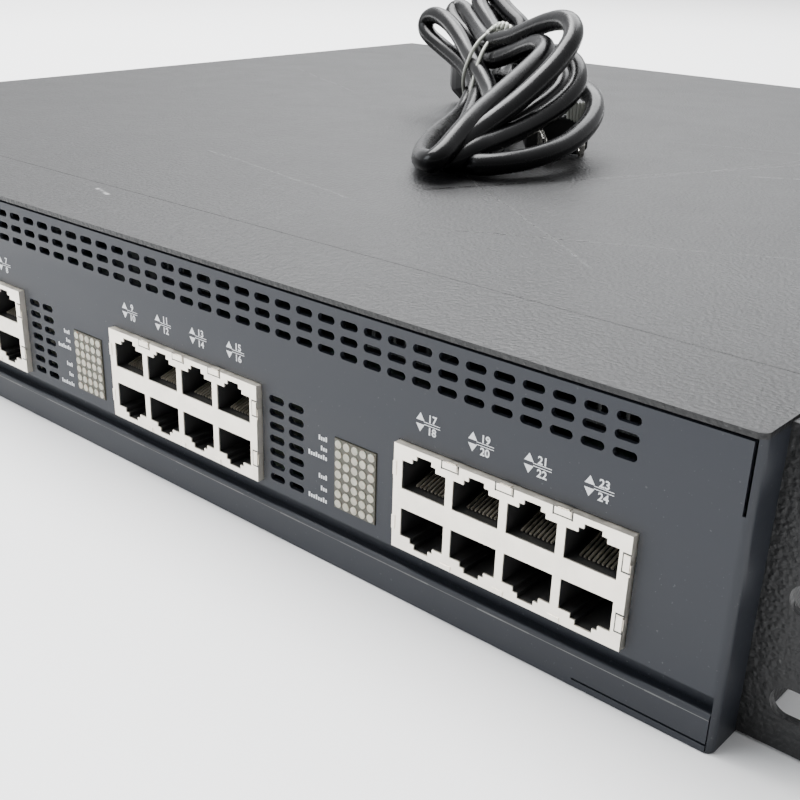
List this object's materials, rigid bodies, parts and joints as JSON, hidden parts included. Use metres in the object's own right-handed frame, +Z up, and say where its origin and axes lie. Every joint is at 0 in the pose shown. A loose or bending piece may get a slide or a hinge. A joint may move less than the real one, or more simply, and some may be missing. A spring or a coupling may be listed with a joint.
{
  "type": "rackmount network switch",
  "caption": "Dark rack-mounted network switch with stacked modular jacks, dot-matrix indicators, air slots and rack ears, its power lead tied in a hank on the cover.",
  "frame": {"origin": "under the middle of the case, on the surface it stands on", "axes": "+X to the right seen from the front, +Y from the front to the back, +Z up"},
  "size_m": [0.4826, 0.426, 0.1179],
  "materials": {
    "case_paint": "fine pebbled charcoal powder coat",
    "tray_paint": "satin black",
    "screw_steel": "black-zinc plated",
    "jack_metal": "dull tinned shield",
    "jack_plastic": "black moulding",
    "contact_gold": "thin gold plate",
    "matrix_body": "grey-green moulding",
    "matrix_lens": "unlit cream lenses",
    "board_green": "green solder mask",
    "stud_brass": "turned",
    "component_black": "moulded epoxy",
    "sink_aluminium": "extruded",
    "can_sleeve": "shrink sleeve",
    "winding": "yellow winding tape",
    "wire_cover": "coloured wire insulation",
    "fan_plastic": "glass-filled black",
    "guard_chrome": "bright plate",
    "inlet_plastic": "black moulding",
    "serial_metal": "tin plate",
    "cord_black": "smooth black jacket",
    "plug_black": "moulded PVC",
    "tie_grey": "clear-coated wire tie"
  },
  "bodies": {
    "chassis": {"front_shell": "case_paint", "top_strip": "case_paint", "lower_rail": "case_paint", "chassis_tray": "tray_paint", "top_cover": "case_paint", "rear_panel": "tray_paint", "rack_ear_left": "case_paint", "rack_ear_right": "case_paint", "ear_screws": "screw_steel", "cover_screws": "screw_steel", "jack_shield_1": "jack_metal", "jack_insert_1": "jack_plastic", "jack_contacts_1": "contact_gold", "matrix_frame_1": "matrix_body", "matrix_dots_1": "matrix_lens", "jack_shield_2": "jack_metal", "jack_insert_2": "jack_plastic", "jack_contacts_2": "contact_gold", "matrix_frame_2": "matrix_body", "matrix_dots_2": "matrix_lens", "jack_shield_3": "jack_metal", "jack_insert_3": "jack_plastic", "jack_contacts_3": "contact_gold", "matrix_frame_3": "matrix_body", "matrix_dots_3": "matrix_lens", "bay_cover": "case_paint", "bay_screws": "screw_steel", "main_board": "board_green", "board_studs": "stud_brass", "board_screws": "screw_steel", "magnetics": "component_black", "chips": "component_black", "chip_heatsinks": "sink_aluminium", "board_capacitors": "can_sleeve", "supply_board": "board_green", "supply_transformers": "winding", "supply_capacitors": "can_sleeve", "supply_heatsinks": "sink_aluminium", "wire_harness": "wire_cover", "fan_frame_1": "fan_plastic", "fan_guard_1": "guard_chrome", "fan_frame_2": "fan_plastic", "fan_guard_2": "guard_chrome", "fan_screws": "screw_steel", "power_inlet": "inlet_plastic", "inlet_pins": "guard_chrome", "inlet_screws": "screw_steel", "serial_port": "serial_metal", "serial_pins": "contact_gold"},
    "fan_rotor_1": {"fan_rotor_1": "fan_plastic"},
    "fan_rotor_2": {"fan_rotor_2": "fan_plastic"},
    "power_lead": {"lead_hank": "cord_black", "lead_tie": "tie_grey", "lead_connector": "plug_black", "lead_plug": "plug_black", "plug_blades": "guard_chrome"}
  },
  "joints": [
    {"name": "fan_spin_1", "type": "hinge", "parent": "chassis", "child": "fan_rotor_1", "pos_m": [0.07, 0.195, 0.033], "axis": [0, 1, 0], "continuous": true},
    {"name": "fan_spin_2", "type": "hinge", "parent": "chassis", "child": "fan_rotor_2", "pos_m": [0.132, 0.195, 0.033], "axis": [0, 1, 0], "continuous": true},
    {"name": "lead_lift", "type": "slide", "parent": "chassis", "child": "power_lead", "axis": [0, 0, 1], "range_m": [0, 0.15]}
  ]
}
